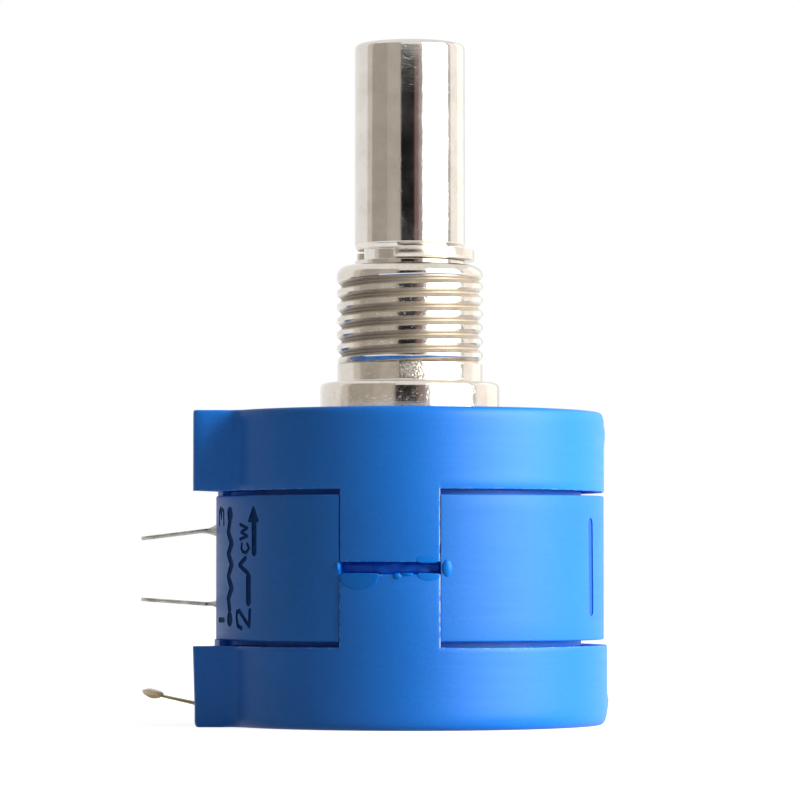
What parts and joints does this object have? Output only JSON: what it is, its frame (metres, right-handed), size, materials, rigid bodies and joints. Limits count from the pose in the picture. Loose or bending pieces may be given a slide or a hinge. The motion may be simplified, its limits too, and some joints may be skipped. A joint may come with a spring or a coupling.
{
  "type": "multiturn potentiometer",
  "caption": "Round moulded body with a threaded bushing and a plain round shaft that drives a wiper along a helical resistance element; solder terminals on one side.",
  "frame": {"origin": "centre of the rear face", "axes": "+Z along the shaft axis, from the rear face towards the shaft's end; -X towards the terminals"},
  "size_m": [0.0265, 0.0222, 0.0391],
  "materials": {
    "blue_cap": "moulded, fine matt",
    "blue_housing": "moulded, fine matt",
    "cement": "cured, glossy",
    "nickel_bushing": "turned brass, bright nickel plate",
    "nickel_shaft": "ground, bright nickel plate",
    "clip_steel": "stamped spring steel, plated",
    "washer_plastic": "punched sheet",
    "rotor_plastic": "moulded",
    "carriage_plastic": "moulded",
    "contact_alloy": "stamped strip, bright",
    "resistance_wire": "fine wire, wound",
    "tinned_brass": "stamped strip, tinned",
    "brass_terminal": "stamped strip, partly tinned"
  },
  "bodies": {
    "housing": {"front_cap": "blue_cap", "rear_cap": "blue_cap", "element_housing": "blue_housing", "seam_cement_front": "cement", "seam_cement_back": "cement", "bushing": "nickel_bushing", "resistance_element": "resistance_wire", "element_clip_front": "tinned_brass", "element_clip_rear": "tinned_brass", "terminal_1": "tinned_brass", "terminal_2": "brass_terminal", "terminal_3": "tinned_brass", "brush": "contact_alloy"},
    "shaft_and_rotor": {"shaft": "nickel_shaft", "retaining_clip": "clip_steel", "thrust_washer": "washer_plastic", "rotor": "rotor_plastic", "slip_ring": "contact_alloy", "collector_strip": "contact_alloy"},
    "wiper": {"wiper_carriage": "carriage_plastic", "wiper_contact": "contact_alloy"}
  },
  "joints": [
    {"name": "shaft_turn", "type": "hinge", "parent": "housing", "child": "shaft_and_rotor", "pos_m": [0, 0, 0], "axis": [0, 0, 1], "range_deg": [-1800, 1800]},
    {"name": "wiper_travel", "type": "slide", "parent": "shaft_and_rotor", "child": "wiper", "axis": [0, 0, 1], "range_m": [-0.005, 0.005]}
  ],
  "couplings": [
    {"joint": "wiper_travel", "follows": "shaft_turn", "m_per_rad": -0.00015915}
  ]
}
